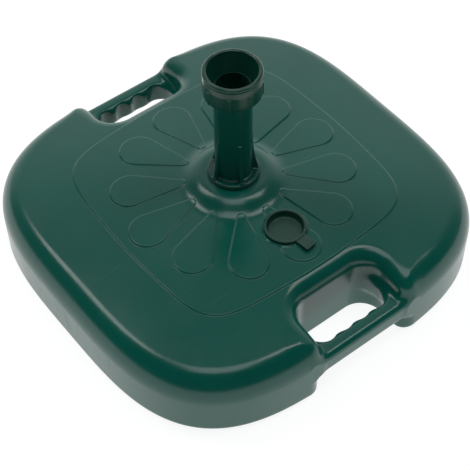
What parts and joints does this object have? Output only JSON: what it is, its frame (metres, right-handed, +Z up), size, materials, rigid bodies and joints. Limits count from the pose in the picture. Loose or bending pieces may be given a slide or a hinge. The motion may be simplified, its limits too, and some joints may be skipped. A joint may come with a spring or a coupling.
{
  "type": "fillable parasol base",
  "caption": "Square moulded parasol base with rounded corners, side carry handles, a pole tube with a screw collar clamp, and a filler plug.",
  "frame": {"origin": "middle of the flat underside, on the pole's axis", "axes": "+Z up along the pole, +X from the pole towards the filler plug and one handle, +Y along the handle bars"},
  "size_m": [0.4968, 0.506, 0.291],
  "materials": {
    "green_plastic": "semi-gloss moulded polyethylene, deep bottle green",
    "dark_plastic": "semi-gloss injection-moulded plastic, near-black green",
    "olive_plastic": "satin flexible plastic, dark olive green",
    "seal_rubber": "matt black rubber"
  },
  "bodies": {
    "tank": {"tank": "green_plastic"},
    "tube": {"pole_tube": "green_plastic", "foot_gasket": "seal_rubber", "tube_end_cap": "dark_plastic"},
    "collet": {"split_collet": "dark_plastic"},
    "collar": {"clamp_collar": "dark_plastic"},
    "plug": {"filler_plug": "olive_plastic", "plug_seal": "seal_rubber"}
  },
  "joints": [
    {"name": "tube_lift", "type": "slide", "parent": "tank", "child": "tube", "axis": [0, 0, 1], "range_m": [0, 0.12]},
    {"name": "collet_press", "type": "slide", "parent": "tube", "child": "collet", "axis": [0, 0, 1], "range_m": [-0.0006, 0.0072]},
    {"name": "collar_turn", "type": "hinge", "parent": "collet", "child": "collar", "pos_m": [0, 0, 0.265], "axis": [0, 0, 1], "range_deg": [-45, 630]},
    {"name": "plug_pull", "type": "slide", "parent": "tank", "child": "plug", "axis": [0, 0, 1], "range_m": [0, 0.03]}
  ],
  "couplings": [
    {"joint": "collet_press", "follows": "collar_turn", "m_per_rad": 0.00063662}
  ]
}
